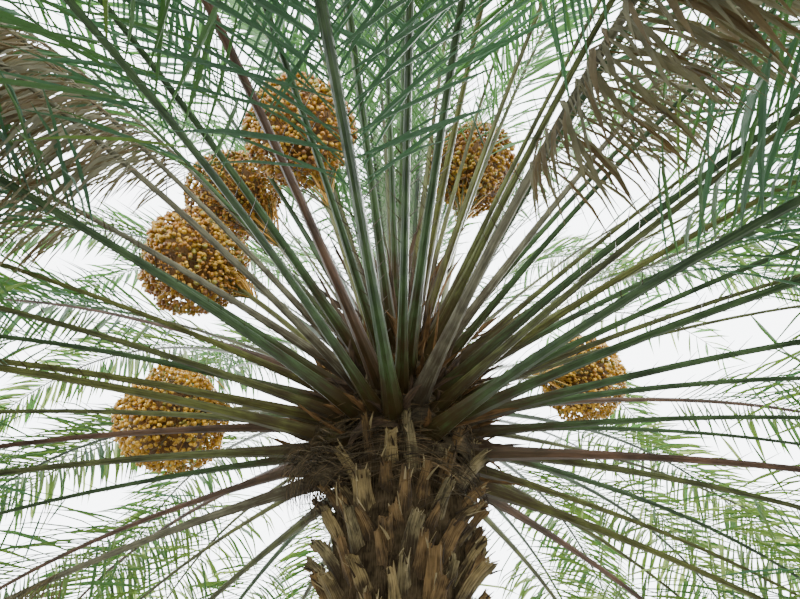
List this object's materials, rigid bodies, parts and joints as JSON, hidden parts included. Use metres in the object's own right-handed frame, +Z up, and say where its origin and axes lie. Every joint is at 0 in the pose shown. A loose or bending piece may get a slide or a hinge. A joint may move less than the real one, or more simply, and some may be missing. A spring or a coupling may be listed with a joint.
{
  "type": "date palm tree",
  "caption": "Date palm in fruit: short upright trunk clad in sawn leaf bases, full crown of long feathered fronds, some of them dry, and hanging round bunches of golden dates.",
  "frame": {"origin": "centre of the flat cut at ground level under the trunk", "axes": "+Z up along the trunk, +X to the right in the picture, +Y away from its camera"},
  "size_m": [7.3167, 7.3422, 6.3246],
  "materials": {
    "bark": "rough fibrous leaf bases",
    "frond_green": "satin leaf",
    "frond_dry": "matte dried leaf",
    "fruit": "smooth waxy skin"
  },
  "bodies": {
    "root": {"trunk": "bark", "young_leaves": "frond_green", "frond_01": "frond_green", "frond_02": "frond_dry", "frond_03": "frond_green", "frond_04": "frond_dry", "frond_05": "frond_green", "frond_06": "frond_green", "frond_07": "frond_green", "frond_08": "frond_green", "frond_09": "frond_green", "frond_10": "frond_green", "frond_11": "frond_green", "frond_12": "frond_green", "frond_13": "frond_green", "frond_14": "frond_green", "frond_15": "frond_green", "frond_16": "frond_dry", "frond_17": "frond_green", "frond_18": "frond_green", "frond_19": "frond_green", "frond_20": "frond_green", "frond_21": "frond_green", "frond_22": "frond_green", "frond_23": "frond_green", "frond_24": "frond_green", "frond_25": "frond_green", "frond_26": "frond_green", "frond_27": "frond_green", "frond_28": "frond_green", "frond_29": "frond_green", "frond_30": "frond_green", "frond_31": "frond_green", "frond_32": "frond_green", "frond_33": "frond_green", "frond_34": "frond_green", "frond_35": "frond_green", "frond_36": "frond_green", "frond_37": "frond_green", "frond_38": "frond_green", "frond_39": "frond_dry", "frond_40": "frond_green", "frond_41": "frond_green", "frond_42": "frond_green", "frond_43": "frond_green", "frond_44": "frond_green", "frond_45": "frond_dry", "frond_46": "frond_green", "frond_47": "frond_green", "frond_48": "frond_green", "frond_49": "frond_green", "frond_50": "frond_dry", "date_bunch_1": "fruit", "date_bunch_2": "fruit", "date_bunch_3": "fruit", "date_bunch_4": "fruit", "date_bunch_5": "fruit", "date_bunch_6": "fruit", "date_bunch_7": "fruit", "date_bunch_8": "fruit"}
  },
  "joints": []
}
